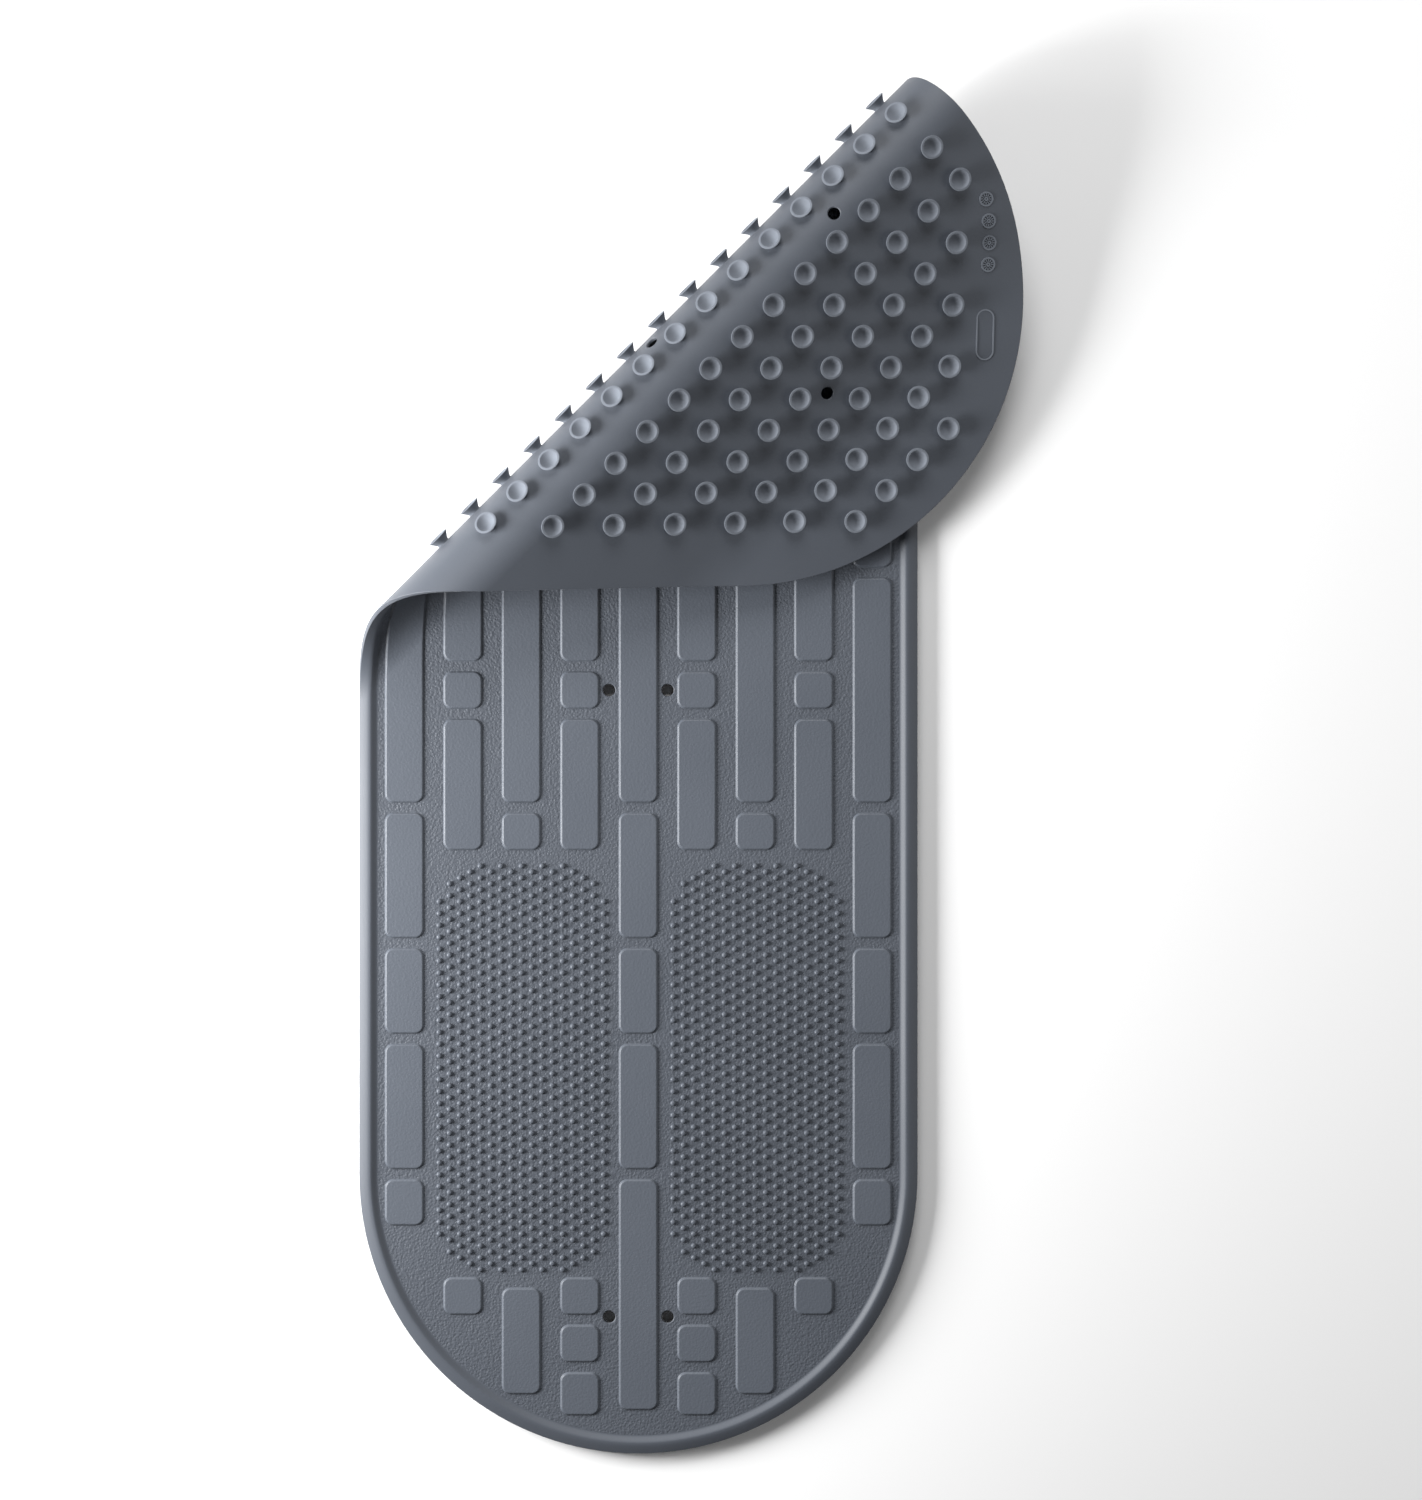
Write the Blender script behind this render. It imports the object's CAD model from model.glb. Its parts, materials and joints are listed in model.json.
"""Looks for a folded rubber mat: a bent sheet with a raised rim, tread pads, nub fields and suction cups.

Every piece is made flat, in the mat's own frame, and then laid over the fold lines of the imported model.
"""

import json
import math

import bmesh
import bpy
import numpy as np
from bpy.props import FloatProperty, FloatVectorProperty, IntProperty, PointerProperty
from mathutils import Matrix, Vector

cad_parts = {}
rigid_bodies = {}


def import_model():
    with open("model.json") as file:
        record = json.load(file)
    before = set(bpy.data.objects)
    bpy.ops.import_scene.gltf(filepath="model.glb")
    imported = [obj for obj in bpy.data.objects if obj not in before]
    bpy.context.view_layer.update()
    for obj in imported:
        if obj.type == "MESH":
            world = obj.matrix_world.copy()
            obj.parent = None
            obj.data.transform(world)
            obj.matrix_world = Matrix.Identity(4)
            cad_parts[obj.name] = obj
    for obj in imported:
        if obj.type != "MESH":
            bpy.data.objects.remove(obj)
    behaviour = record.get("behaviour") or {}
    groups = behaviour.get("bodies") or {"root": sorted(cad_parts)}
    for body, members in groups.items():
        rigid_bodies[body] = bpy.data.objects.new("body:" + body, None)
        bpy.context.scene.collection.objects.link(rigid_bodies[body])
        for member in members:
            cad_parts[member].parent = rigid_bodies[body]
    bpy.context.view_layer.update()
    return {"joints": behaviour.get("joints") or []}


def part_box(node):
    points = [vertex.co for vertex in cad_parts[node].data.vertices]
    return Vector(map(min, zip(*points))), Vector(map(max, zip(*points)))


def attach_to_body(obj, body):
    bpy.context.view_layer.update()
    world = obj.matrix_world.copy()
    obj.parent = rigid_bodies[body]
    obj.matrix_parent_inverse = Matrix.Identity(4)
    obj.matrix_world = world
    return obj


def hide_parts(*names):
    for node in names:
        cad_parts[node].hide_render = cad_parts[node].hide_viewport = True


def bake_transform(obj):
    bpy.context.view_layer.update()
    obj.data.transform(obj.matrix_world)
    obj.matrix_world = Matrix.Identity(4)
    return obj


bl_info = {
    "name": "Folded rubber mat",
    "version": (1, 0, 0),
    "blender": (4, 5, 0),
    "location": "3D View > Sidebar > Mat",
    "description": "Makes a moulded rubber mat with one end folded over",
    "category": "Add Mesh",
}

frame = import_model()
MM = 0.001

# The flat mat's frame: x across, y from the near end, z up from the suction cups' lips
SHEET_LOW, SHEET_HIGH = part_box("main_sheet")
MAT_X = (SHEET_LOW.x + SHEET_HIGH.x) / 2
MAT_Y = SHEET_LOW.y
HALF_W = (SHEET_HIGH.x - SHEET_LOW.x) / 2
UNDER_Z = SHEET_LOW.z
TREAD_Z = SHEET_HIGH.z
BODIES = [frame["joints"][0]["parent"]] + [j["child"] for j in frame["joints"]]
# Columns of pads on each side of the middle one
COLUMNS = 4


# ---------------------------------------------------------------------------
# Sizes and colours that a user would change
# ---------------------------------------------------------------------------


def size(name, description, default):
    """A length in metres, given in millimetres."""
    return FloatProperty(
        name=name, description=description, default=default * MM, unit="LENGTH", precision=5
    )


class SheetSizes(bpy.types.PropertyGroup):
    """Sizes of the sheet and its rim."""

    length: size("Length", "Length of the mat laid flat", 1094)
    rim_w: size("Rim width", "Width of the raised rim, from the edge to its inner foot", 13.3)
    crest_in: size("Rim crest", "Distance from the edge to the crest of the rim", 7.8)
    rim_h: size("Rim height", "Height of the rim's crest above the sheet", 2.5)
    edge_r: size("Edge rounding", "Rounding of the sheet's outer edge", 0.6)
    drain_d: size("Drain hole", "Diameter of a drain hole", 8.8)
    drain_lead: size("Hole chamfer", "Width of the chamfer round a drain hole", 0.5)
    drain_near: size("Near holes", "Distance of the first holes from the near end", 98)
    drain_wide: size("Wide holes", "Distance of the wide holes from the folded end", 142)
    drain_close: size("Close holes", "Distance of the close holes from the folded end", 273)
    bend_steps: IntProperty(
        name="Bend steps", description="Facets across one strip of the roll", default=8, min=2
    )


class TreadSizes(bpy.types.PropertyGroup):
    """Sizes of the tread pads and nubs."""

    column_inset: size("Column inset", "Distance from the edge to the outermost column of pads", 32.4)
    pad_w: size("Pad width", "Width of a pad at its foot", 27.6)
    pad_gap: size("Pad gap", "Gap between pads along a column", 7.5)
    pad_h: size("Pad height", "Height of a pad above the sheet", 1.5)
    corner_r: size("Pad corner", "Radius of a pad's corners", 6)
    middle_l: size("Middle pad", "Length of the long pads across the middle", 161)
    second_l: size("Second pad", "Length of the pads beside the middle ones", 89.5)
    third_l: size("Third pad", "Length of the shorter pads after those", 61)
    small_l: size("Small pad", "Length of the small square pads", 26.5)
    last_l: size("Last small pad", "Length of the last small pads at the round end", 30.5)
    middle_end: size("Middle end", "Distance from a round end to the middle column's last pad", 31.5)
    end_clear: size("End clearance", "Nearest that a pad comes to the edge at the round ends", 15)
    field_start: size("Field start", "Distance from the middle of the mat to a nub field", 124)
    field_from_end: size("Field end", "Distance from the near end to a nub field", 130)
    field_w: size("Field width", "Width of a nub field", 122.5)
    field_r: size("Field corner", "Corner radius of a nub field", 30)
    nub_pitch: size("Nub spacing", "Distance between neighbouring nubs", 8.5)
    nub_d: size("Nub diameter", "Diameter of a nub at its foot", 3.8)
    nub_h: size("Nub height", "Height of a nub", 2.2)


class UnderSizes(bpy.types.PropertyGroup):
    """Sizes of what stands on the underside."""

    cup_d: size("Cup diameter", "Diameter of a suction cup's lip", 16.4)
    cup_lip_w: size("Cup lip", "Width of the ring round a cup's mouth", 1.9)
    cup_neck_d: size("Cup neck", "Diameter of a cup where it joins the sheet", 9)
    cup_bowl: size("Cup bowl", "Depth of a cup's bowl", 3.6)
    cup_pitch: size("Cup spacing", "Distance between cups in a row", 43.9)
    cup_end_inset: size("Cup end inset", "Distance from the end of the mat to its last cup", 53.6)
    cup_edge_inset: size("Cup edge inset", "Least distance from the edge to a cup", 25)
    dial_d: size("Dial diameter", "Diameter of a blank date dial", 10.5)
    dial_inset: size("Dial inset", "Distance of the dials from the folded end", 27.5)
    dial_start: size("First dial", "Distance of the first dial from the middle of the mat", 28)
    dial_step: size("Dial spacing", "Distance between neighbouring dials", 15.3)
    dial_bow: size("Dial bow", "How the row of dials bows away from the folded end", 0.7)
    dial_ring: size("Dial ring", "Width of a dial's raised ring", 1.2)
    plate_l: size("Plate length", "Length of the blank oval plate", 36)
    mark_h: size("Mark height", "Height of the dials and plate", 0.6)


class RubberLooks(bpy.types.PropertyGroup):
    """Colours of the rubber."""

    body: FloatVectorProperty(
        name="Rubber", description="Colour of the moulded rubber", subtype="COLOR", size=3,
        default=(0.065, 0.074, 0.091), min=0, max=1,
    )
    pads: FloatVectorProperty(
        name="Pads", description="Colour of the pads and nubs, which wear a little lighter",
        subtype="COLOR", size=3, default=(0.079, 0.090, 0.110), min=0, max=1,
    )
    underside: FloatVectorProperty(
        name="Underside", description="Colour of the smoother underside", subtype="COLOR", size=3,
        default=(0.058, 0.066, 0.082), min=0, max=1,
    )
    grain: size("Grain size", "Size of the grain between the pads", 1.6)


# ---------------------------------------------------------------------------
# The fold
# ---------------------------------------------------------------------------


class Fold:
    """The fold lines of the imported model, and where a point of the flat mat goes when it is folded."""

    def __init__(self):
        joints = frame["joints"]
        turning = joints[0]["axis"]
        # Unit vectors along the crease and square to it
        self.along = -np.array(turning[:2], float)
        self.across = np.array([-self.along[1], self.along[0]])
        places = []
        for joint in joints:
            x, y, z = joint["pos_m"]
            places.append(np.array([self.across @ np.array((x - MAT_X, y - MAT_Y)), z]))
        self.level = places[0][1]
        self.turn = [math.radians(self.signed_turn(j)) for j in joints]
        self.lines = [places[0][0]]
        for here, there in zip(places, places[1:]):
            self.lines.append(self.lines[-1] + float(np.linalg.norm(there - here)))
        self.width = self.lines[1] - self.lines[0]
        # Length of mat that bends at each line: a strip in the roll, two at the flap's end
        self.length = [self.width] * (len(joints) - 1) + [2 * self.width]
        self.corner = [np.array([0.0, self.level])] + places
        self.start = [0.0] + self.lines
        self.angle = [0.0] + list(np.cumsum(self.turn))

    @staticmethod
    def signed_turn(joint):
        """How far the fold line is turned at rest: opening runs the other way."""
        opening = max(joint["range_deg"], key=abs)
        same_way = np.dot(joint["axis"], frame["joints"][0]["axis"]) > 0
        return opening if same_way else -opening

    def edges(self):
        """Places across the crease where the mat starts and stops bending."""
        return [(v - l / 2, v + l / 2) for v, l in zip(self.lines, self.length)]

    def cuts(self, steps):
        """Places across the crease where a flat mesh is cut, so that it can bend smoothly."""
        found = []
        for k, (low, high) in enumerate(self.edges()):
            found.extend(low + (high - low) * i / steps for i in range(steps))
            found.append(high)
        return sorted(set(round(v, 7) for v in found))

    def strip(self, v):
        """Number of the strip that a point at v lies on."""
        return int(np.searchsorted(self.lines, v))

    def rigid(self, k, v, z):
        """Where strip k carries a point, keeping the strip flat, and the strip's angle."""
        a = self.angle[k]
        dv, dz = v - self.start[k], z - self.level
        q = self.corner[k][0] + dv * math.cos(a) - dz * math.sin(a)
        return q, self.corner[k][1] + dv * math.sin(a) + dz * math.cos(a), np.full_like(v, a)

    def bent(self, v, z):
        """Where the bent mat carries points at v across the crease and height z, and its angle there."""
        q, h, angle = self.rigid(0, v, z)
        edges = self.edges()
        for k, (low, high) in enumerate(edges):
            inside = (v >= low) & (v <= high)
            a = self.turn[k]
            radius = self.length[k] / 2 / math.tan(a / 2)
            phi = a * (v[inside] - low) / self.length[k]
            dz = z[inside] - self.level
            local_v = low + (radius - dz) * np.sin(phi)
            local_z = self.level + radius - (radius - dz) * np.cos(phi)
            q[inside], h[inside], base = self.rigid(k, local_v, local_z)
            angle[inside] = base + phi
            after = v > high
            q[after], h[after], angle[after] = self.rigid(k + 1, v[after], z[after])
        return q, h, angle

    def place(self, points, normals=None, strip=None):
        """Folds flat points, and any normals too; a strip number keeps them rigid with that strip."""
        u = points[:, :2] @ self.along
        v = points[:, :2] @ self.across
        q, h, angle = self.bent(v, points[:, 2]) if strip is None else self.rigid(strip, v, points[:, 2])
        plan = u[:, None] * self.along + q[:, None] * self.across + (MAT_X, MAT_Y)
        folded = np.column_stack([plan, h])
        if normals is None:
            return folded
        nu = normals[:, :2] @ self.along
        nv = normals[:, :2] @ self.across
        turned_v = nv * np.cos(angle) - normals[:, 2] * np.sin(angle)
        turned_z = nv * np.sin(angle) + normals[:, 2] * np.cos(angle)
        turned = np.column_stack([nu[:, None] * self.along + turned_v[:, None] * self.across, turned_z])
        return folded, turned


fold = Fold()


# ---------------------------------------------------------------------------
# Flat outlines
# ---------------------------------------------------------------------------


def stadium(half_w, length, inset, steps=72):
    """The mat's outline moved inwards, anticlockwise from the right side."""
    r = half_w - inset
    points = []
    for centre_y, start in ((length - half_w, 0), (half_w, math.pi)):
        for i in range(steps + 1):
            a = start + math.pi * i / steps
            points.append((r * math.cos(a), centre_y + r * math.sin(a)))
    return points


def rounded_box(half_x, half_y, r, steps=6):
    """A rectangle about the origin with round corners, anticlockwise."""
    points = []
    for quarter, (sx, sy) in enumerate(((1, 1), (-1, 1), (-1, -1), (1, -1))):
        for i in range(steps + 1):
            a = math.pi / 2 * (quarter + i / steps)
            points.append((sx * (half_x - r) + r * math.cos(a), sy * (half_y - r) + r * math.sin(a)))
    return points


def moved(outline, x, y):
    """An outline carried to another centre."""
    return [(x + px, y + py) for px, py in outline]


def circle(x, y, r, steps=32):
    """A circle's points, anticlockwise."""
    return [
        (x + r * math.cos(2 * math.pi * i / steps), y + r * math.sin(2 * math.pi * i / steps))
        for i in range(steps)
    ]


def add_loop(mesh, outline, z):
    """Adds an outline's points at one height."""
    return [mesh.verts.new((x, y, z)) for x, y in outline]


def join_loops(mesh, low, high):
    """Faces between two loops of the same number of points, facing outwards where the loops climb."""
    count = len(low)
    return [
        mesh.faces.new((low[i], low[(i + 1) % count], high[(i + 1) % count], high[i]))
        for i in range(count)
    ]


def loop_edges(mesh, loop):
    """The edges round a loop, made where they are missing."""
    count = len(loop)
    found = []
    for i in range(count):
        pair = (loop[i], loop[(i + 1) % count])
        found.append(mesh.edges.get(pair) or mesh.edges.new(pair))
    return found


def fill_between(mesh, loops, up):
    """Fills the flat area inside the first loop and outside the others."""
    edges = [e for loop in loops for e in loop_edges(mesh, loop)]
    made = bmesh.ops.triangle_fill(mesh, use_beauty=True, edges=edges, normal=(0, 0, up))
    faces = [f for f in made["geom"] if isinstance(f, bmesh.types.BMFace)]
    for face in faces:
        face.normal_update()
        if face.normal.z * up < 0:
            face.normal_flip()
    return faces


# ---------------------------------------------------------------------------
# From flat meshes to folded pieces
# ---------------------------------------------------------------------------


def cut_for_bending(mesh, steps):
    """Cuts a flat mesh along lines beside the crease."""
    normal = (fold.across[0], fold.across[1], 0)
    for v in fold.cuts(steps):
        everything = mesh.verts[:] + mesh.edges[:] + mesh.faces[:]
        point = (fold.across[0] * v, fold.across[1] * v, 0)
        bmesh.ops.bisect_plane(mesh, geom=everything, dist=1e-7, plane_co=point, plane_no=normal)


def soft_normals(mesh, sharp):
    """A normal for each face corner: the average of the faces round the point that lie within the
    sharp angle, each counted by its area, so that large flat faces stay flat."""
    limit = math.cos(sharp)
    area = [f.calc_area() for f in mesh.faces]
    normals = []
    for face in mesh.faces:
        for vert in face.verts:
            total = np.zeros(3)
            for other in vert.link_faces:
                if other.normal.dot(face.normal) >= limit:
                    total += np.array(other.normal) * area[other.index]
            length = np.linalg.norm(total)
            normals.append(total / length if length else np.array(face.normal))
    return np.array(normals)


def piece_from(name, points, faces, corner_normals, values, material):
    """A mesh object with its own corner normals and, if there is one, a value for each face."""
    data = bpy.data.meshes.new(name)
    data.from_pydata([tuple(p) for p in points], [], faces)
    data.polygons.foreach_set("use_smooth", [True] * len(faces))
    if values is not None:
        data.attributes.new("grain", "FLOAT", "FACE").data.foreach_set("value", values)
    data.normals_split_custom_set([tuple(n) for n in corner_normals])
    data.materials.append(material)
    data.update()
    piece = bpy.data.objects.new(name, data)
    bpy.context.scene.collection.objects.link(piece)
    return piece


def regions():
    """Each region of the mat in order: its name, its end across the crease, and its bodies."""
    found = []
    edges = fold.edges()
    for k, (low, high) in enumerate(edges):
        if k == 0 or low > edges[k - 1][1] + 1e-6:
            found.append((BODIES[k], low, (BODIES[k],)))
        found.append((f"bend_{k + 1}", high, (BODIES[k], BODIES[k + 1])))
    found.append((BODIES[-1], math.inf, (BODIES[-1],)))
    return found


def covered_body(bodies):
    """The body whose nodes a region stands for: its own, or a strip that has no flat region."""
    flat = {names[0] for _, _, names in regions() if len(names) == 1}
    return bodies[-1] if len(bodies) == 1 or bodies[-1] not in flat else None


def attach(piece, bodies):
    """Rides on one body, or bends between two."""
    if len(bodies) == 1:
        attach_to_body(piece, bodies[0])
        return
    k = BODIES.index(bodies[0])
    low, high = fold.edges()[k]
    ends = np.column_stack([np.outer((low, high), fold.across), (fold.level, fold.level)])
    start, end = fold.place(ends)
    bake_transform(piece)


def split_and_fold(mesh, kind, material, replaced, steps, values=None):
    """Cuts a flat mesh into the regions of the fold, folds each, and attaches it to its bodies."""
    cut_for_bending(mesh, steps)
    mesh.verts.index_update()
    mesh.faces.index_update()
    mesh.normal_update()
    normals = soft_normals(mesh, math.radians(38))
    points = np.array([v.co for v in mesh.verts], float)
    layer = mesh.faces.layers.float.get(values) if values else None
    starts = np.cumsum([0] + [len(f.verts) for f in mesh.faces])
    middles = np.array([f.calc_center_median()[:2] for f in mesh.faces]) @ fold.across
    low = -math.inf
    for region, high, bodies in regions():
        chosen = [f for f, v in zip(mesh.faces, middles) if low < v <= high]
        low = high
        if not chosen:
            continue
        used = sorted({v.index for f in chosen for v in f.verts})
        new_index = {old: new for new, old in enumerate(used)}
        faces = [[new_index[v.index] for v in f.verts] for f in chosen]
        corners = np.concatenate([np.arange(starts[f.index], starts[f.index + 1]) for f in chosen])
        corner_points = points[[v.index for f in chosen for v in f.verts]]
        folded = fold.place(points[used])
        _, turned = fold.place(corner_points, normals[corners])
        grain = [f[layer] for f in chosen] if layer else None
        piece = piece_from(f"{kind}_{region}", folded, faces, turned, grain, material)
        attach(piece, bodies)
        covered = covered_body(bodies)
        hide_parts(*(f"{covered}_{part}" for part in replaced if covered))


# ---------------------------------------------------------------------------
# Node helpers
# ---------------------------------------------------------------------------


def linked(tree, kind, inputs=None, **settings):
    """Adds a node, sets its properties, and links or sets its inputs by name or number."""
    made = tree.nodes.new(kind)
    for key, value in settings.items():
        setattr(made, key, value)
    for key, value in (inputs or {}).items():
        if isinstance(value, bpy.types.NodeSocket):
            tree.links.new(value, made.inputs[key])
        else:
            made.inputs[key].default_value = value
    return made


def maths(tree, operation, *values):
    """A Math node's result."""
    return linked(tree, "ShaderNodeMath", dict(enumerate(values)), operation=operation).outputs[0]


# ---------------------------------------------------------------------------
# Rubber
# ---------------------------------------------------------------------------

# How many of each kind of mark the rubber shows to a metre
CLOUDS, SPECKS, TOOTH = 9.0, 900.0, 1500.0
# How much darker and lighter than its own colour the rubber gets
DARKEST, LIGHTEST = 0.84, 1.14


def noise(tree, place, scale, detail):
    """A Noise texture node."""
    return linked(tree, "ShaderNodeTexNoise", {"Vector": place, "Scale": scale, "Detail": detail})


def rubber(name, colour, grain_size, grain_depth, fine_depth, roughness, masked=False):
    """Moulded rubber: cloudy colour, a leathery grain, a fine tooth and a soft dusty sheen.
    Where masked, the grain keeps to the faces that the mesh marks with it."""
    material = bpy.data.materials.new(name)
    material.use_nodes = True
    tree = material.node_tree
    tree.nodes.clear()
    place = linked(tree, "ShaderNodeTexCoord").outputs["Object"]
    # Large soft clouds in the colour, as the moulding leaves them
    clouds = noise(tree, place, CLOUDS, 4.0).outputs["Fac"]
    specks = noise(tree, place, SPECKS, 2.0).outputs["Fac"]
    shade = maths(tree, "MULTIPLY_ADD", clouds, 0.16, maths(tree, "MULTIPLY", specks, 0.10))
    dark = tuple(c * DARKEST for c in colour) + (1,)
    light = tuple(min(1, c * LIGHTEST) for c in colour) + (1,)
    tint = linked(
        tree, "ShaderNodeMixRGB",
        {"Fac": maths(tree, "MULTIPLY", shade, 3.8), "Color1": dark, "Color2": light},
    ).outputs["Color"]
    # Leathery grain: small rounded cells broken up by noise
    wobble = noise(tree, place, 0.6 / grain_size, 2.0).outputs["Color"]
    shift = linked(
        tree, "ShaderNodeVectorMath", {0: wobble, "Scale": grain_size * 0.8}, operation="SCALE"
    ).outputs[0]
    shifted = linked(tree, "ShaderNodeVectorMath", {0: place, 1: shift}, operation="ADD").outputs[0]
    cells = linked(
        tree, "ShaderNodeTexVoronoi", {"Vector": shifted, "Scale": 1 / grain_size}, feature="SMOOTH_F1"
    ).outputs["Distance"]
    fine = noise(tree, place, TOOTH, 3.0).outputs["Fac"]
    depth = maths(tree, "MULTIPLY", cells, grain_depth)
    if masked:
        mask = linked(tree, "ShaderNodeAttribute", attribute_name="grain").outputs["Fac"]
        depth = maths(tree, "MULTIPLY", depth, mask)
    height = maths(tree, "MULTIPLY_ADD", fine, fine_depth, depth)
    bump = linked(tree, "ShaderNodeBump", {"Height": height, "Strength": 1.0, "Distance": 1.0})
    rough = maths(tree, "MULTIPLY_ADD", clouds, 0.14, roughness - 0.07)
    surface = linked(
        tree, "ShaderNodeBsdfPrincipled",
        {"Base Color": tint, "Roughness": rough, "Normal": bump.outputs["Normal"], "IOR": 1.5,
         "Sheen Weight": 0.06, "Sheen Roughness": 0.5},
    )
    out = linked(tree, "ShaderNodeOutputMaterial")
    tree.links.new(surface.outputs[0], out.inputs["Surface"])
    return material


def tread_rubber(looks):
    """The grained rubber between the pads, with a smoother rim and underside."""
    found = bpy.data.materials.get("grained_rubber")
    return found or rubber(
        "grained_rubber", looks.body, looks.grain,
        grain_depth=0.00042, fine_depth=0.00004, roughness=0.54, masked=True,
    )


def pad_rubber(looks):
    """The smoother rubber of the pads and nubs."""
    found = bpy.data.materials.get("pad_rubber")
    return found or rubber(
        "pad_rubber", looks.pads, looks.grain, grain_depth=0.00012, fine_depth=0.00003, roughness=0.48
    )


def cup_rubber(looks):
    """The smooth satin rubber of the suction cups and marks."""
    found = bpy.data.materials.get("cup_rubber")
    return found or rubber(
        "cup_rubber", looks.underside, looks.grain, grain_depth=0.00001, fine_depth=0.00002, roughness=0.46
    )


# ---------------------------------------------------------------------------
# Sheet
# ---------------------------------------------------------------------------


def column_pitch(tread):
    """Distance between neighbouring columns of pads."""
    return (HALF_W - tread.column_inset) / COLUMNS


def drain_places(sheet, tread):
    """Centres of the drain holes, in the grooves between pad columns."""
    pitch = column_pitch(tread)
    heights = (
        (0.5, sheet.drain_near),
        (0.5, sheet.length / 2),
        (0.5, sheet.length - sheet.drain_close),
        (1.5, sheet.length - sheet.drain_wide),
    )
    return [(side * columns * pitch, y) for columns, y in heights for side in (-1, 1)]


def rim_profile(sheet):
    """The section from the underside round the edge and over the rim: inset from the edge, and height."""
    r = sheet.edge_r
    points = []
    for i in range(4):
        a = math.pi / 2 * i / 3
        points.append((r - r * math.sin(a), UNDER_Z + r - r * math.cos(a)))
    # A small rounded shoulder leads from the upright edge into the outer slope
    rise_in, rise_from = 0.7 * MM, TREAD_Z + 0.55 * MM
    points.append((0.0, TREAD_Z - 0.2 * MM))
    points.append((0.15 * MM, TREAD_Z + 0.25 * MM))
    points.append((rise_in, rise_from))
    # The outer slope climbs nearly straight and rolls over at the crest
    crest_z = TREAD_Z + sheet.rim_h
    for share in (0.33, 0.66, 0.85):
        inset = rise_in + (sheet.crest_in - rise_in) * share
        points.append((inset, rise_from + (crest_z - rise_from) * math.sin(share * math.pi / 2) ** 1.1))
    points.append((sheet.crest_in, crest_z))
    # The inner slope is steeper and runs out into the sheet
    inner = sheet.rim_w - sheet.crest_in
    for share in (0.12, 0.28, 0.5, 0.72, 0.88, 1.0):
        fall = 0.5 + 0.5 * math.cos(math.pi * share)
        points.append((sheet.crest_in + inner * share, TREAD_Z + sheet.rim_h * fall))
    return points


class MAT_OT_sheet(bpy.types.Operator):
    """Makes the sheet with its raised rim and drain holes, bent along the crease"""

    bl_idname = "mat.sheet"
    bl_label = "Sheet and rim"

    def execute(self, context):
        sheet, tread = context.scene.mat_sheet, context.scene.mat_tread
        mesh = bmesh.new()
        grain = mesh.faces.layers.float.new("grain")
        profile = rim_profile(sheet)
        loops = [add_loop(mesh, stadium(HALF_W, sheet.length, inset), z) for inset, z in profile]
        for low, high in zip(loops, loops[1:]):
            join_loops(mesh, low, high)
        low_rings, high_rings = [], []
        lead = sheet.drain_lead
        for x, y in drain_places(sheet, tread):
            levels = ((lead, UNDER_Z), (0, UNDER_Z + lead), (0, TREAD_Z - lead), (lead, TREAD_Z))
            rings = [add_loop(mesh, circle(x, y, sheet.drain_d / 2 + grow), z) for grow, z in levels]
            for low, high in zip(rings, rings[1:]):
                join_loops(mesh, high, low)
            low_rings.append(rings[0])
            high_rings.append(rings[-1])
        fill_between(mesh, [loops[0]] + low_rings, -1)
        for face in fill_between(mesh, [loops[-1]] + high_rings, 1):
            face[grain] = 1.0
        split_and_fold(
            mesh, "sheet", tread_rubber(context.scene.mat_looks), ("sheet", "rim"),
            sheet.bend_steps, values="grain",
        )
        mesh.free()
        return {"FINISHED"}


# ---------------------------------------------------------------------------
# Tread pads
# ---------------------------------------------------------------------------


def pad_stretches(column, fields, sheet, tread):
    """Stretches [start, end] of one half column, from the middle of the mat outwards."""
    gap = tread.pad_gap
    second = tread.middle_l / 2 + gap
    third = second + tread.second_l + gap
    fourth = third + tread.third_l + gap
    fifth = fourth + tread.second_l + gap
    far = sheet.length
    long_column = [
        (second, second + tread.second_l), (third, third + tread.third_l),
        (fourth, fourth + tread.second_l), (fifth, far),
    ]
    short = tread.small_l / 2 + gap
    before_field = min(second + tread.small_l, tread.field_start - gap)
    short_first = (short, before_field)
    if not fields:
        if column % 2 == 0:
            return long_column
        return [
            short_first, (before_field + gap, fourth - gap),
            (fourth, fourth + tread.second_l), (fifth, far),
        ]
    field_end = sheet.length / 2 - tread.field_from_end
    after = field_end + gap / 2
    following = after + tread.small_l + gap
    last = following + tread.small_l + gap
    if column == 1:
        return [
            short_first, (after, after + tread.small_l), (following, following + tread.small_l),
            (last, last + tread.last_l),
        ]
    if column == 2:
        return [(second, before_field), (field_end + gap * 1.5, far)]
    if column == 3:
        return [short_first, (after, after + tread.small_l)]
    return long_column


def pad_boxes(sheet, tread):
    """Each pad as its centre x, and its low and high y."""
    pitch = column_pitch(tread)
    middle = sheet.length / 2
    shortest = 2 * tread.corner_r + 2 * MM
    boxes = []
    for column in range(-COLUMNS, COLUMNS + 1):
        x = column * pitch
        reach = abs(x) + tread.pad_w / 2
        limit = middle - HALF_W + math.sqrt((HALF_W - tread.end_clear) ** 2 - reach ** 2)
        if column == 0:
            limit = middle - tread.middle_end
        half_l = (tread.middle_l if column % 2 == 0 else tread.small_l) / 2
        boxes.append((x, middle - half_l, middle + half_l))
        for fields, toward in ((True, -1), (False, 1)):
            for start, end in pad_stretches(abs(column), fields, sheet, tread):
                end = min(end, limit)
                if end - start > shortest:
                    near, far = sorted((middle + toward * start, middle + toward * end))
                    boxes.append((x, near, far))
    return boxes


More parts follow.
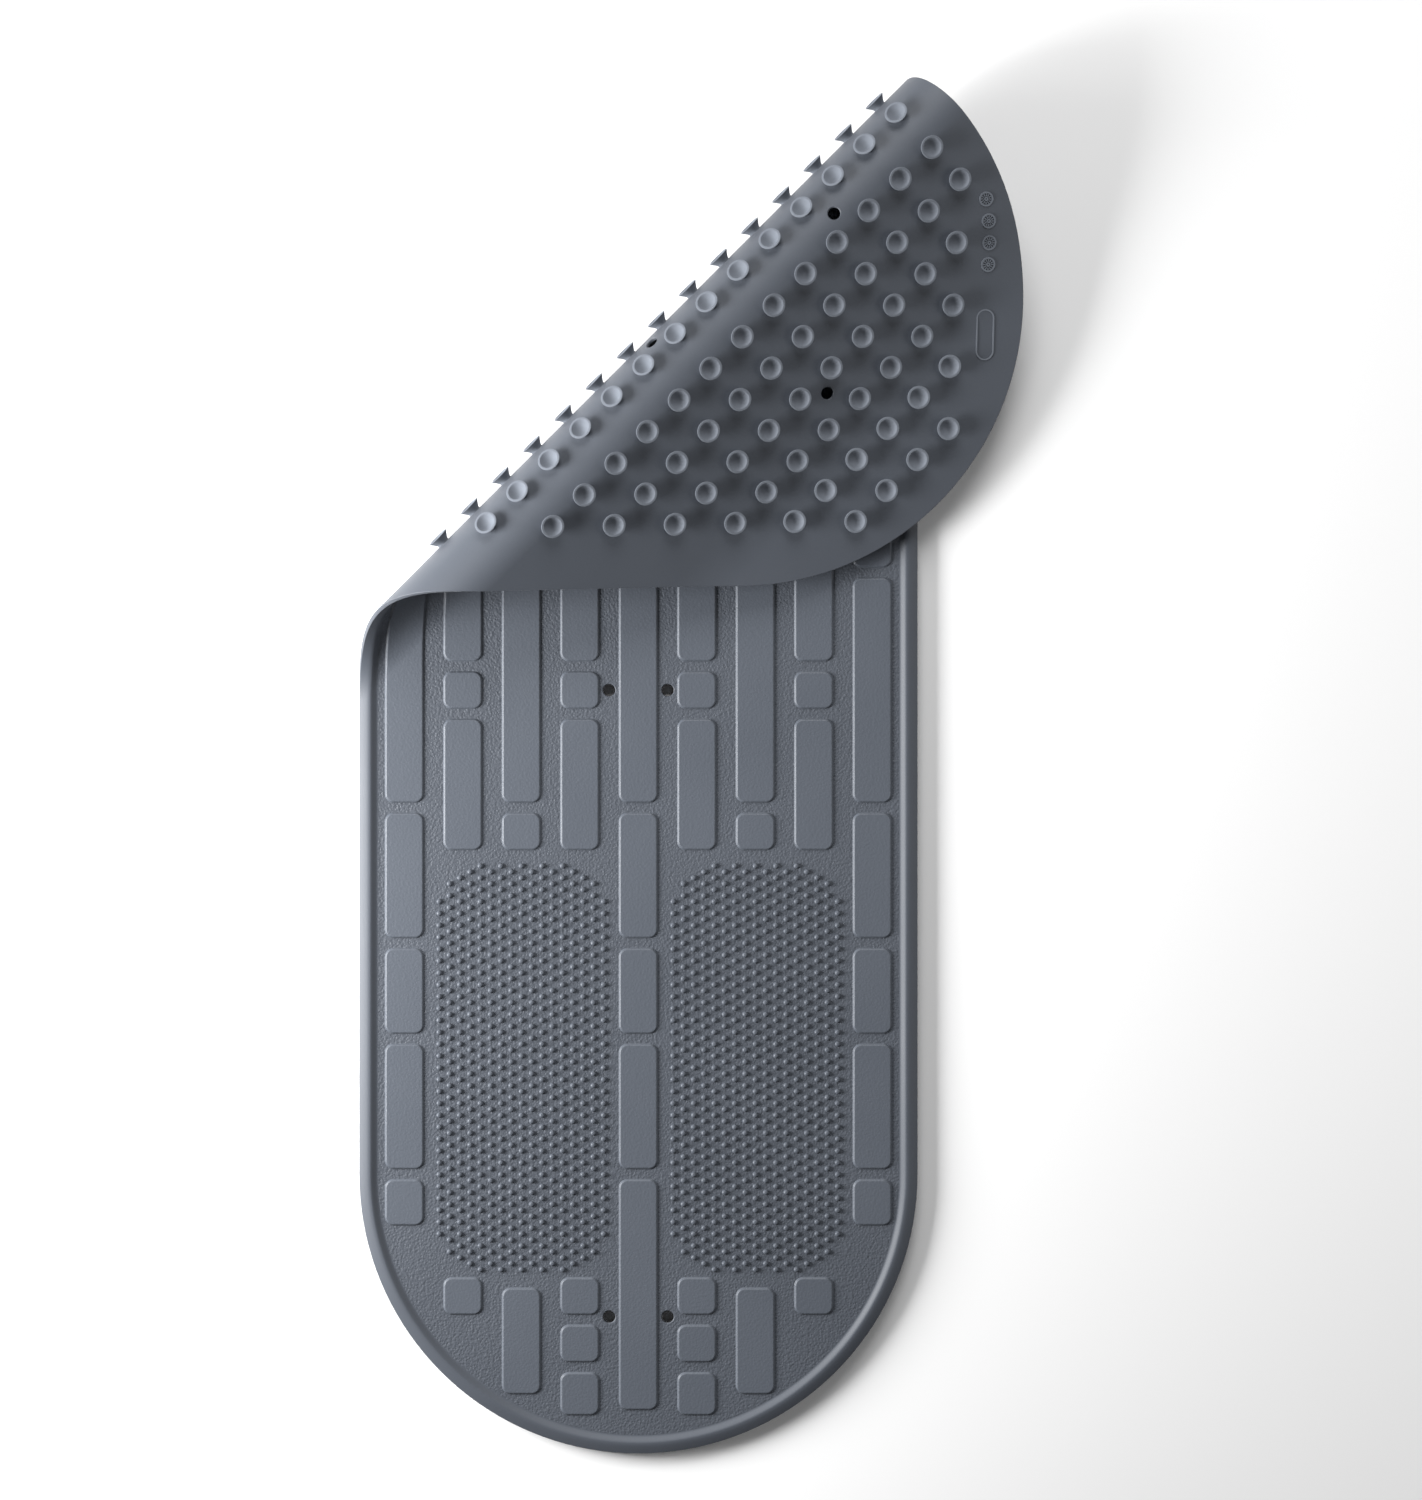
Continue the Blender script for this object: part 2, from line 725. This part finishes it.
class MAT_OT_tread_pads(bpy.types.Operator):
    """Makes the raised tread pads, with drafted walls and rolled edges"""

    bl_idname = "mat.tread_pads"
    bl_label = "Tread pads"

    def execute(self, context):
        sheet, tread = context.scene.mat_sheet, context.scene.mat_tread
        mesh = bmesh.new()
        # Section of a pad's side: inset from its foot, and height above the sheet
        h = tread.pad_h
        section = (
            (-0.5 * MM, -0.15 * MM), (-0.25 * MM, 0.08 * MM), (0.1 * MM, 0.3 * h), (0.45 * MM, 0.68 * h),
            (0.85 * MM, 0.9 * h), (1.5 * MM, h),
        )
        for x, near, far in pad_boxes(sheet, tread):
            loops = []
            for inset, z in section:
                half_x, half_y = tread.pad_w / 2 - inset, (far - near) / 2 - inset
                outline = rounded_box(half_x, half_y, tread.corner_r - inset)
                loops.append(add_loop(mesh, moved(outline, x, (near + far) / 2), TREAD_Z + z))
            for low, high in zip(loops, loops[1:]):
                join_loops(mesh, low, high)
            mesh.faces.new(loops[-1])
            mesh.faces.new(loops[0][::-1])
        split_and_fold(
            mesh, "pads", pad_rubber(context.scene.mat_looks), ("tread_pads",),
            sheet.bend_steps,
        )
        mesh.free()
        return {"FINISHED"}


# ---------------------------------------------------------------------------
# Nub fields
# ---------------------------------------------------------------------------


def group_inputs(tree, sockets):
    """Names the inputs and the output of a geometry tree, and returns its input node."""
    for name, kind in sockets:
        tree.interface.new_socket(name, in_out="INPUT", socket_type=kind)
    tree.interface.new_socket("Geometry", in_out="OUTPUT", socket_type="NodeSocketGeometry")
    return tree.nodes.new("NodeGroupInput").outputs


def positions(tree):
    """Each point's own x, y and z."""
    place = tree.nodes.new("GeometryNodeInputPosition").outputs[0]
    return linked(tree, "ShaderNodeSeparateXYZ", {0: place})


def finish_tree(tree, copies, material):
    """Turns instances into plain mesh in one material and hands it out."""
    real = linked(tree, "GeometryNodeRealizeInstances", {"Geometry": copies}).outputs[0]
    done = linked(tree, "GeometryNodeSetMaterial", {"Geometry": real, "Material": material}).outputs[0]
    linked(tree, "NodeGroupOutput", {"Geometry": done})


def nub_tree():
    """Nubs in staggered columns inside a rounded rectangle."""
    tree = bpy.data.node_groups.new("nub_field", "GeometryNodeTree")
    given = group_inputs(tree, (
        ("Columns", "NodeSocketInt"), ("Rows", "NodeSocketInt"), ("Pitch", "NodeSocketFloat"),
        ("Half width", "NodeSocketFloat"), ("Half length", "NodeSocketFloat"),
        ("Corner", "NodeSocketFloat"),
        ("Nub", "NodeSocketObject"), ("Rubber", "NodeSocketMaterial"),
    ))
    column_w = maths(tree, "MULTIPLY", given["Pitch"], math.sqrt(3) / 2)
    width = maths(tree, "MULTIPLY", column_w, maths(tree, "SUBTRACT", given["Columns"], 1.0))
    length = maths(tree, "MULTIPLY", given["Pitch"], maths(tree, "SUBTRACT", given["Rows"], 1.0))
    grid = linked(tree, "GeometryNodeMeshGrid", {
        "Size X": width, "Size Y": length, "Vertices X": given["Columns"], "Vertices Y": given["Rows"],
    }).outputs["Mesh"]
    at = positions(tree)
    # Every other column moves half a pitch
    column = maths(tree, "ROUND", maths(tree, "DIVIDE", at.outputs[0], column_w))
    odd = maths(tree, "FLOORED_MODULO", column, 2.0)
    step = maths(tree, "MULTIPLY", maths(tree, "MULTIPLY", odd, 0.5), given["Pitch"])
    offset = linked(tree, "ShaderNodeCombineXYZ", {"Y": step}).outputs[0]
    staggered = linked(tree, "GeometryNodeSetPosition", {"Geometry": grid, "Offset": offset}).outputs[0]
    # Only points inside the rounded rectangle stay
    here = positions(tree)
    over = []
    for axis, half in ((0, "Half width"), (1, "Half length")):
        flat_part = maths(tree, "SUBTRACT", given[half], given["Corner"])
        past = maths(tree, "SUBTRACT", maths(tree, "ABSOLUTE", here.outputs[axis]), flat_part)
        over.append(maths(tree, "MAXIMUM", past, 0.0))
    squares = maths(tree, "ADD", maths(tree, "POWER", over[0], 2.0), maths(tree, "POWER", over[1], 2.0))
    outside = maths(tree, "GREATER_THAN", maths(tree, "SQRT", squares), given["Corner"])
    kept = linked(
        tree, "GeometryNodeDeleteGeometry", {"Geometry": staggered, "Selection": outside}, domain="POINT"
    ).outputs[0]
    nub = linked(tree, "GeometryNodeObjectInfo", {"Object": given["Nub"]}).outputs["Geometry"]
    copies = linked(tree, "GeometryNodeInstanceOnPoints", {"Points": kept, "Instance": nub}).outputs[0]
    finish_tree(tree, copies, given["Rubber"])
    return tree


def turned_shape(name, section, steps, upwards=False):
    """A shape turned about z from its section of radii and heights, from the top down or upwards."""
    mesh = bmesh.new()
    loops = [add_loop(mesh, circle(0, 0, r, steps), z) for r, z in section]
    for first, second in zip(loops, loops[1:]):
        join_loops(mesh, *((first, second) if upwards else (second, first)))
    top, foot = (loops[-1], loops[0]) if upwards else (loops[0], loops[-1])
    mesh.faces.new(top)
    mesh.faces.new(foot[::-1])
    data = bpy.data.meshes.new(name)
    mesh.to_mesh(data)
    mesh.free()
    shape = bpy.data.objects.new(name, data)
    bpy.context.scene.collection.objects.link(shape)
    return shape


def grown(name, tree, values, points=()):
    """The plain mesh that a geometry tree grows on these points, as a new object."""
    start = bpy.data.meshes.new(name + "_points")
    start.from_pydata([tuple(p) for p in points], [], [])
    holder = bpy.data.objects.new(name + "_points", start)
    bpy.context.scene.collection.objects.link(holder)
    modifier = holder.modifiers.new("grow", "NODES")
    modifier.node_group = tree
    for item in tree.interface.items_tree:
        if item.in_out == "INPUT" and item.name in values:
            modifier[item.identifier] = values[item.name]
    depsgraph = bpy.context.evaluated_depsgraph_get()
    data = bpy.data.meshes.new_from_object(holder.evaluated_get(depsgraph), depsgraph=depsgraph)
    holder.modifiers.clear()
    bpy.data.objects.remove(holder)
    data.name = name
    piece = bpy.data.objects.new(name, data)
    bpy.context.scene.collection.objects.link(piece)
    return piece


def smooth(piece, sharp):
    """Smooth shading with edges kept sharp past this angle."""
    data = piece.data
    data.polygons.foreach_set("use_smooth", [True] * len(data.polygons))
    data.set_sharp_from_angle(angle=sharp)
    data.update()


def lay_rigid(piece, strip):
    """Moves a flat piece's points to where a strip carries them."""
    data = piece.data
    flat = np.zeros(len(data.vertices) * 3)
    data.vertices.foreach_get("co", flat)
    placed = fold.place(flat.reshape(-1, 3), strip=strip)
    data.vertices.foreach_set("co", placed.ravel())
    data.update()


class MAT_OT_nub_fields(bpy.types.Operator):
    """Makes the two fields of massaging nubs"""

    bl_idname = "mat.nub_fields"
    bl_label = "Nub fields"

    def execute(self, context):
        sheet, tread = context.scene.mat_sheet, context.scene.mat_tread
        field_end = sheet.length / 2 - tread.field_from_end
        half_w = (tread.field_w - tread.nub_d) / 2
        half_l = (field_end - tread.field_start - tread.nub_d) / 2
        columns = int(half_w // (tread.nub_pitch * math.sqrt(3) / 2))
        rows = int(half_l // tread.nub_pitch) + 1
        tree = nub_tree()
        r, h = tread.nub_d / 2, tread.nub_h
        nub = turned_shape("nub_shape", (
            (r * 1.12, -0.1 * MM), (r, 0.12 * h), (r * 0.95, 0.6 * h), (r * 0.82, 0.86 * h), (r * 0.5, h),
        ), 12, upwards=True)
        values = {
            "Columns": 2 * columns + 1, "Rows": 2 * rows + 1, "Pitch": tread.nub_pitch,
            "Half width": half_w, "Half length": half_l, "Corner": tread.field_r,
            "Nub": nub, "Rubber": pad_rubber(context.scene.mat_looks),
        }
        middle_y = sheet.length / 2 - (tread.field_start + field_end) / 2
        for side, name in ((-1, "left"), (1, "right")):
            piece = grown(f"nubs_{name}", tree, values)
            offset = np.array([side * 2 * column_pitch(tread), middle_y, TREAD_Z])
            flat = np.array([v.co for v in piece.data.vertices]) + offset
            piece.data.vertices.foreach_set("co", flat.ravel())
            lay_rigid(piece, 0)
            smooth(piece, math.radians(50))
            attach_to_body(piece, BODIES[0])
            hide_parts(f"{name}_nub_field")
        bpy.data.objects.remove(nub)
        return {"FINISHED"}


# ---------------------------------------------------------------------------
# Suction cups
# ---------------------------------------------------------------------------


def cup_places(sheet, under):
    """Centres of the cups: a staggered grid, mirrored about the middle of the mat."""
    step = under.cup_pitch / 2
    middle = sheet.length / 2
    reach = HALF_W - under.cup_edge_inset
    found = []
    for i in range(-int(reach // step), int(reach // step) + 1):
        for j in range(int((middle - under.cup_end_inset) // step) + 1):
            from_end = under.cup_end_inset + j * step
            past_round = max(0.0, HALF_W - from_end)
            inside = math.hypot(i * step, past_round) <= reach
            apart = middle - from_end > under.cup_d / 2 + MM
            if (i + j) % 2 == 0 and inside and apart:
                found.append((i * step, from_end))
                found.append((i * step, sheet.length - from_end))
    return found


def cup_section(under):
    """A cup's section from its neck, down its outside, over the lip and up into the bowl."""
    r, neck, lip = under.cup_d / 2, under.cup_neck_d / 2, under.cup_lip_w
    # The neck reaches a little way into the sheet
    top = UNDER_Z + 0.8 * MM
    return (
        (neck, top), (neck * 1.02, UNDER_Z), (neck + 0.25 * MM, UNDER_Z - 0.9 * MM),
        (neck + 1.1 * MM, UNDER_Z * 0.60), (neck + 2.3 * MM, UNDER_Z * 0.34), (r - 0.25 * MM, 0.55 * MM),
        (r, 0.3 * MM), (r - 0.3 * MM, 0.0), (r - lip + 0.35 * MM, 0.0), (r - lip, 0.3 * MM),
        (r - lip - 1.3 * MM, under.cup_bowl * 0.47), (r * 0.36, under.cup_bowl * 0.84),
        (r * 0.14, under.cup_bowl),
    )


def cup_tree():
    """One cup on every point."""
    tree = bpy.data.node_groups.new("suction_cups", "GeometryNodeTree")
    given = group_inputs(tree, (
        ("Points", "NodeSocketGeometry"), ("Cup", "NodeSocketObject"), ("Rubber", "NodeSocketMaterial"),
    ))
    cup = linked(tree, "GeometryNodeObjectInfo", {"Object": given["Cup"]}).outputs["Geometry"]
    copies = linked(
        tree, "GeometryNodeInstanceOnPoints", {"Points": given["Points"], "Instance": cup}
    ).outputs[0]
    finish_tree(tree, copies, given["Rubber"])
    return tree


class MAT_OT_suction_cups(bpy.types.Operator):
    """Makes the suction cups, rigid with the strip of mat that each stands on"""

    bl_idname = "mat.suction_cups"
    bl_label = "Suction cups"

    def execute(self, context):
        sheet, under = context.scene.mat_sheet, context.scene.mat_under
        rubber_here = cup_rubber(context.scene.mat_looks)
        tree = cup_tree()
        groups = {}
        for x, y in cup_places(sheet, under):
            strip = fold.strip(float(np.dot((x, y), fold.across)))
            groups.setdefault(strip, []).append((x, y, 0.0))
        section = cup_section(under)
        plain, fine = (turned_shape("cup_shape", section, steps) for steps in (16, 32))
        for strip, points in sorted(groups.items()):
            body = BODIES[strip]
            values = {"Cup": plain if strip == 0 else fine, "Rubber": rubber_here}
            piece = grown(f"cups_{body}", tree, values, points)
            lay_rigid(piece, strip)
            smooth(piece, math.radians(40))
            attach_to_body(piece, body)
            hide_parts(f"{body}_suction_cups")
        for shape in (plain, fine):
            bpy.data.objects.remove(shape)
        return {"FINISHED"}


# ---------------------------------------------------------------------------
# Marks on the underside
# ---------------------------------------------------------------------------

# Dials in the row, and plain ticks in each
DIALS, TICKS = 4, 12
# Where a tick starts and ends as shares of its dial's radius, and half its width
TICK_FROM, TICK_TO = 0.38, 0.74
TICK_HALF = 0.3 * MM
# Outer radius of the boss in the middle of a dial
BOSS_R = 1.5 * MM
# How far a raised mark reaches into the sheet
MARK_ROOT = 0.2 * MM
# Width of the plate as a share of its length, and its gap to the last fold line
PLATE_SHARE = 0.36
PLATE_GAP = 1.5 * MM


def raised_band(mesh, outer, inner, low, high):
    """A flat-topped band between two outlines of as many points, standing down from the sheet."""
    a, b = add_loop(mesh, outer, high), add_loop(mesh, outer, low)
    c, d = add_loop(mesh, inner, low), add_loop(mesh, inner, high)
    for one, other in ((b, a), (c, b), (d, c), (a, d)):
        join_loops(mesh, one, other)


def tick_outline(x, y, angle, r):
    """A short bar that points away from the centre of a dial of radius r."""
    out = (math.cos(angle), math.sin(angle))
    inner, outer = r * TICK_FROM, r * TICK_TO
    corners = ((inner, -TICK_HALF), (outer, -TICK_HALF), (outer, TICK_HALF), (inner, TICK_HALF))
    return [(x + out[0] * d - out[1] * w, y + out[1] * d + out[0] * w) for d, w in corners]


class MAT_OT_marks(bpy.types.Operator):
    """Makes the blank date dials and the blank plate frame on the folded end"""

    bl_idname = "mat.marks"
    bl_label = "Dials and plate"

    def execute(self, context):
        sheet, under = context.scene.mat_sheet, context.scene.mat_under
        y = sheet.length - under.dial_inset
        low, high = UNDER_Z - under.mark_h, UNDER_Z + MARK_ROOT
        dials, plate = bmesh.new(), bmesh.new()
        r = under.dial_d / 2
        for i in range(DIALS):
            x, dial_y = under.dial_start + under.dial_step * i, y - i * (i - 1) * under.dial_bow
            raised_band(dials, circle(x, dial_y, r), circle(x, dial_y, r - under.dial_ring), low, high)
            raised_band(dials, circle(x, dial_y, BOSS_R), circle(x, dial_y, BOSS_R - MM), low, high)
            for tick in range(TICKS):
                outline = tick_outline(x, dial_y, 2 * math.pi * tick / TICKS, r)
                cap = add_loop(dials, outline, low)
                join_loops(dials, add_loop(dials, outline, high), cap)
                dials.faces.new(list(reversed(cap)))
        half_l, half_w = under.plate_l / 2, under.plate_l * PLATE_SHARE / 2
        # The plate sits past the last fold line, level with the dials
        lean = fold.along[1] * (half_l - half_w)
        plate_v = fold.lines[-1] + PLATE_GAP + half_w + lean
        plate_x = (y * fold.across[1] - plate_v) / fold.along[1]
        outer = rounded_box(half_l, half_w, half_w * 0.999, steps=12)
        inner = rounded_box(half_l - MM, half_w - MM, (half_w - MM) * 0.999, steps=12)
        raised_band(plate, moved(outer, plate_x, y), moved(inner, plate_x, y), low, high)
        dial_strip = fold.strip(under.dial_start * fold.across[0] + y * fold.across[1])
        looks = context.scene.mat_looks
        made = ((dials, "date_dials", dial_strip), (plate, "maker_plate", len(BODIES) - 1))
        for mesh, name, strip in made:
            mesh.normal_update()
            data = bpy.data.meshes.new(name)
            mesh.to_mesh(data)
            mesh.free()
            data.materials.append(cup_rubber(looks))
            piece = bpy.data.objects.new(name + "_raised", data)
            bpy.context.scene.collection.objects.link(piece)
            lay_rigid(piece, strip)
            smooth(piece, math.radians(30))
            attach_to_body(piece, BODIES[strip])
            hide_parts(name)
        return {"FINISHED"}


# ---------------------------------------------------------------------------
# Stage
# ---------------------------------------------------------------------------

# Half the width of the floor, and its gap below the mat
FLOOR_HALF = 6.0
FLOOR_GAP = 0.5 * MM
# How tall the view is at the fold lines' level, and the camera's height above that level
VIEW_H = 1.0752
EYE_H = 2.358
# The camera's place, from the middle of the mat's near end
EYE_X = 0.052
EYE_Y = 0.5041


def area_light(name, location, wide, power):
    """A soft square light aimed at the middle of the floor."""
    data = bpy.data.lights.new(name, "AREA")
    data.shape = "SQUARE"
    data.size = wide
    data.energy = power
    lamp = bpy.data.objects.new(name, data)
    lamp.location = location
    lamp.rotation_euler = (-Vector(location)).to_track_quat("-Z", "Y").to_euler()
    bpy.context.scene.collection.objects.link(lamp)


class MAT_OT_stage(bpy.types.Operator):
    """Makes the pale floor, the soft lights and the camera straight above the mat"""

    bl_idname = "mat.stage"
    bl_label = "Floor, lights and camera"

    def execute(self, context):
        scene = context.scene
        half = FLOOR_HALF
        data = bpy.data.meshes.new("floor")
        corners = [(-half, -half, 0), (half, -half, 0), (half, half, 0), (-half, half, 0)]
        data.from_pydata(corners, [], [(0, 1, 2, 3)])
        white = bpy.data.materials.new("pale_floor")
        white.use_nodes = True
        shader = white.node_tree.nodes["Principled BSDF"]
        shader.inputs["Base Color"].default_value = (0.92, 0.92, 0.92, 1)
        shader.inputs["Roughness"].default_value = 0.9
        data.materials.append(white)
        floor = bpy.data.objects.new("floor", data)
        floor.location = (0, 0, -FLOOR_GAP)
        scene.collection.objects.link(floor)
        world = bpy.data.worlds.new("studio")
        world.use_nodes = True
        world.node_tree.nodes["Background"].inputs[0].default_value = (1, 1, 1, 1)
        world.node_tree.nodes["Background"].inputs[1].default_value = 0.08
        scene.world = world
        scene.view_settings.view_transform = "Standard"
        area_light("near_left", (-0.906, -0.05, 0.423), wide=0.5, power=23)
        area_light("far_left", (-2.349, 0, 0.855), wide=1.2, power=36)
        area_light("folded_end", (0, 1.638, 1.147), wide=1.2, power=28)
        area_light("right_fill", (1.638, 0, 1.147), wide=1.2, power=8)
        camera = bpy.data.cameras.new("camera")
        camera.sensor_fit = "VERTICAL"
        camera.sensor_height = 24
        camera.lens = camera.sensor_height * EYE_H / VIEW_H
        eye = bpy.data.objects.new("camera", camera)
        eye.location = (MAT_X + EYE_X, MAT_Y + EYE_Y, fold.level + EYE_H)
        scene.collection.objects.link(eye)
        scene.camera = eye
        return {"FINISHED"}


# ---------------------------------------------------------------------------
# Panel and registration
# ---------------------------------------------------------------------------


PIECES = (
    MAT_OT_sheet, MAT_OT_tread_pads, MAT_OT_nub_fields, MAT_OT_suction_cups, MAT_OT_marks, MAT_OT_stage,
)
SIZES = (SheetSizes, TreadSizes, UnderSizes, RubberLooks)
GROUPS = (
    ("mat_sheet", SheetSizes), ("mat_tread", TreadSizes),
    ("mat_under", UnderSizes), ("mat_looks", RubberLooks),
)


class MAT_PT_panel(bpy.types.Panel):
    """The mat's pieces and sizes"""

    bl_idname = "MAT_PT_panel"
    bl_label = "Rubber mat"
    bl_space_type = "VIEW_3D"
    bl_region_type = "UI"
    bl_category = "Mat"

    def draw(self, context):
        for operator in PIECES:
            self.layout.operator(operator.bl_idname)
        for name, group in GROUPS:
            box = self.layout.box()
            for item in group.__annotations__:
                box.prop(getattr(context.scene, name), item)


def register():
    for kind in SIZES + PIECES + (MAT_PT_panel,):
        bpy.utils.register_class(kind)
    for name, group in GROUPS:
        setattr(bpy.types.Scene, name, PointerProperty(type=group))


def unregister():
    for name, _ in GROUPS:
        delattr(bpy.types.Scene, name)
    for kind in reversed(SIZES + PIECES + (MAT_PT_panel,)):
        bpy.utils.unregister_class(kind)


def main():
    register()
    bpy.ops.mat.stage()
    bpy.ops.mat.sheet()
    bpy.ops.mat.tread_pads()
    bpy.ops.mat.nub_fields()
    bpy.ops.mat.suction_cups()
    bpy.ops.mat.marks()


if __name__ == "__main__":
    main()
